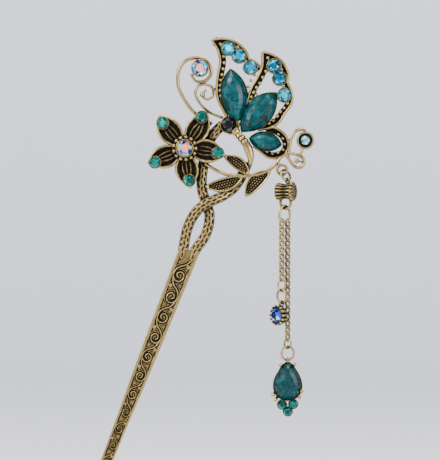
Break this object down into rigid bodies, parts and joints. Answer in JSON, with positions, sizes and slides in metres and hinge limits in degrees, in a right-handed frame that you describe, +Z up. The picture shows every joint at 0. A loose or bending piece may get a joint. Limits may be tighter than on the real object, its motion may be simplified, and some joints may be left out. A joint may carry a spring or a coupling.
{
  "type": "decorative hair pin",
  "caption": "Antique brass hair stick with a tapered engraved blade, a twisted two-branch neck, a stone-set butterfly and flower, and a swinging two-chain dangle.",
  "frame": {"origin": "on the blade's centreline at the fork, on the flat back", "axes": "+Z up as worn with the dangle hanging along -Z, +X to the dangle's side, ornament facing -Y"},
  "size_m": [0.0787, 0.0071, 0.1669],
  "materials": {
    "antique_brass": "satin",
    "aqua_crystal": "gloss",
    "emerald_crystal": "gloss",
    "teal_resin": "gloss",
    "rainbow_crystal": "gloss",
    "black_crystal": "gloss"
  },
  "bodies": {
    "hairpin": {"shaft_blade": "antique_brass", "rear_branch": "antique_brass", "front_branch": "antique_brass", "butterfly_body": "antique_brass", "head_stone": "black_crystal", "navette_left": "teal_resin", "navette_right": "teal_resin", "navette_lower": "teal_resin", "wing_rhinestone_1": "aqua_crystal", "wing_rhinestone_2": "aqua_crystal", "wing_rhinestone_3": "aqua_crystal", "wing_rhinestone_4": "aqua_crystal", "wing_rhinestone_5": "aqua_crystal", "wing_rhinestone_6": "aqua_crystal", "left_wing_frame": "antique_brass", "right_wing_frame": "antique_brass", "lower_wing_frame": "antique_brass", "petal_rhinestone_1": "emerald_crystal", "petal_rhinestone_2": "emerald_crystal", "petal_rhinestone_3": "emerald_crystal", "petal_rhinestone_4": "emerald_crystal", "petal_rhinestone_5": "emerald_crystal", "flower_petals": "antique_brass", "flower_cup": "antique_brass", "flower_rhinestone": "rainbow_crystal", "antenna_rhinestone": "rainbow_crystal", "large_antenna": "antique_brass", "small_antenna": "antique_brass", "vine_stem": "antique_brass", "knot_loop": "antique_brass", "scroll_rhinestone": "aqua_crystal", "stone_scroll": "antique_brass", "hanging_eyelet": "antique_brass", "upper_leaf": "antique_brass", "lower_leaf": "antique_brass", "outer_leaf": "antique_brass"},
    "top_ring": {"top_ring": "antique_brass"},
    "connector": {"fluted_connector": "antique_brass"},
    "fork_ring": {"fork_ring": "antique_brass"},
    "short_chain_1": {"short_chain_1": "antique_brass"},
    "short_chain_2": {"short_chain_2": "antique_brass"},
    "short_chain_3": {"short_chain_3": "antique_brass"},
    "short_end_link": {"short_end_link": "antique_brass"},
    "daisy_ring": {"daisy_ring": "antique_brass"},
    "daisy_charm": {"daisy_charm": "antique_brass", "daisy_rhinestone": "rainbow_crystal"},
    "long_chain_1": {"long_chain_1": "antique_brass"},
    "long_chain_2": {"long_chain_2": "antique_brass"},
    "long_chain_3": {"long_chain_3": "antique_brass"},
    "long_chain_4": {"long_chain_4": "antique_brass"},
    "long_chain_5": {"long_chain_5": "antique_brass"},
    "long_chain_6": {"long_chain_6": "antique_brass"},
    "long_end_link": {"long_end_link": "antique_brass"},
    "pendant_ring": {"pendant_ring": "antique_brass"},
    "pendant": {"pendant_setting": "antique_brass", "pear_stone": "teal_resin", "pendant_rhinestone_1": "emerald_crystal", "pendant_rhinestone_2": "emerald_crystal", "pendant_rhinestone_3": "emerald_crystal"}
  },
  "joints": [
    {"name": "top_ring_swing", "type": "hinge", "parent": "hairpin", "child": "top_ring", "pos_m": [0.02935, -0.0023, 0.02323], "axis": [1, 0, 0], "range_deg": [-20, 12]},
    {"name": "connector_swing", "type": "hinge", "parent": "top_ring", "child": "connector", "pos_m": [0.0302, -0.0029, 0.02121], "axis": [0, 1, 0], "range_deg": [-30, 12]},
    {"name": "fork_ring_swing", "type": "hinge", "parent": "connector", "child": "fork_ring", "pos_m": [0.0296, -0.0027, 0.01245], "axis": [1, 0, 0], "range_deg": [-12, 30]},
    {"name": "short_chain_1_swing", "type": "hinge", "parent": "fork_ring", "child": "short_chain_1", "pos_m": [0.02837, -0.00324, 0.0085], "axis": [0, 1, 0], "range_deg": [0, 14]},
    {"name": "short_chain_2_swing", "type": "hinge", "parent": "short_chain_1", "child": "short_chain_2", "pos_m": [0.02837, -0.00324, 0.003], "axis": [1, 0, 0], "range_deg": [-20, 0]},
    {"name": "short_chain_3_swing", "type": "hinge", "parent": "short_chain_2", "child": "short_chain_3", "pos_m": [0.02837, -0.00324, -0.00318], "axis": [0, 1, 0], "range_deg": [0, 14]},
    {"name": "short_end_link_swing", "type": "hinge", "parent": "short_chain_3", "child": "short_end_link", "pos_m": [0.02837, -0.00324, -0.00983], "axis": [1, 0, 0], "range_deg": [-12, 0]},
    {"name": "daisy_ring_swing", "type": "hinge", "parent": "short_end_link", "child": "daisy_ring", "pos_m": [0.02837, -0.00324, -0.0131], "axis": [0, 1, 0], "range_deg": [0, 8]},
    {"name": "daisy_charm_swing", "type": "hinge", "parent": "daisy_ring", "child": "daisy_charm", "pos_m": [0.02837, -0.00324, -0.01667], "axis": [1, 0, 0], "range_deg": [-20, 0]},
    {"name": "long_chain_1_swing", "type": "hinge", "parent": "fork_ring", "child": "long_chain_1", "pos_m": [0.03024, -0.00216, 0.0085], "axis": [0, 1, 0], "range_deg": [-12, 0]},
    {"name": "long_chain_2_swing", "type": "hinge", "parent": "long_chain_1", "child": "long_chain_2", "pos_m": [0.03024, -0.00216, 0.003], "axis": [1, 0, 0], "range_deg": [0, 15]},
    {"name": "long_chain_3_swing", "type": "hinge", "parent": "long_chain_2", "child": "long_chain_3", "pos_m": [0.03024, -0.00216, -0.00318], "axis": [0, 1, 0], "range_deg": [-12, 0]},
    {"name": "long_chain_4_swing", "type": "hinge", "parent": "long_chain_3", "child": "long_chain_4", "pos_m": [0.03024, -0.00216, -0.00936], "axis": [1, 0, 0], "range_deg": [0, 15]},
    {"name": "long_chain_5_swing", "type": "hinge", "parent": "long_chain_4", "child": "long_chain_5", "pos_m": [0.03024, -0.00216, -0.01554], "axis": [0, 1, 0], "range_deg": [-12, 0]},
    {"name": "long_chain_6_swing", "type": "hinge", "parent": "long_chain_5", "child": "long_chain_6", "pos_m": [0.03024, -0.00216, -0.02172], "axis": [1, 0, 0], "range_deg": [0, 15]},
    {"name": "long_end_link_swing", "type": "hinge", "parent": "long_chain_6", "child": "long_end_link", "pos_m": [0.03024, -0.00216, -0.02837], "axis": [0, 1, 0], "range_deg": [-20, 8]},
    {"name": "pendant_ring_swing", "type": "hinge", "parent": "long_end_link", "child": "pendant_ring", "pos_m": [0.03024, -0.00216, -0.03074], "axis": [1, 0, 0], "range_deg": [-20, 20]},
    {"name": "pendant_swing", "type": "hinge", "parent": "pendant_ring", "child": "pendant", "pos_m": [0.03024, -0.00216, -0.03431], "axis": [0, 1, 0], "range_deg": [-15, 15]}
  ]
}
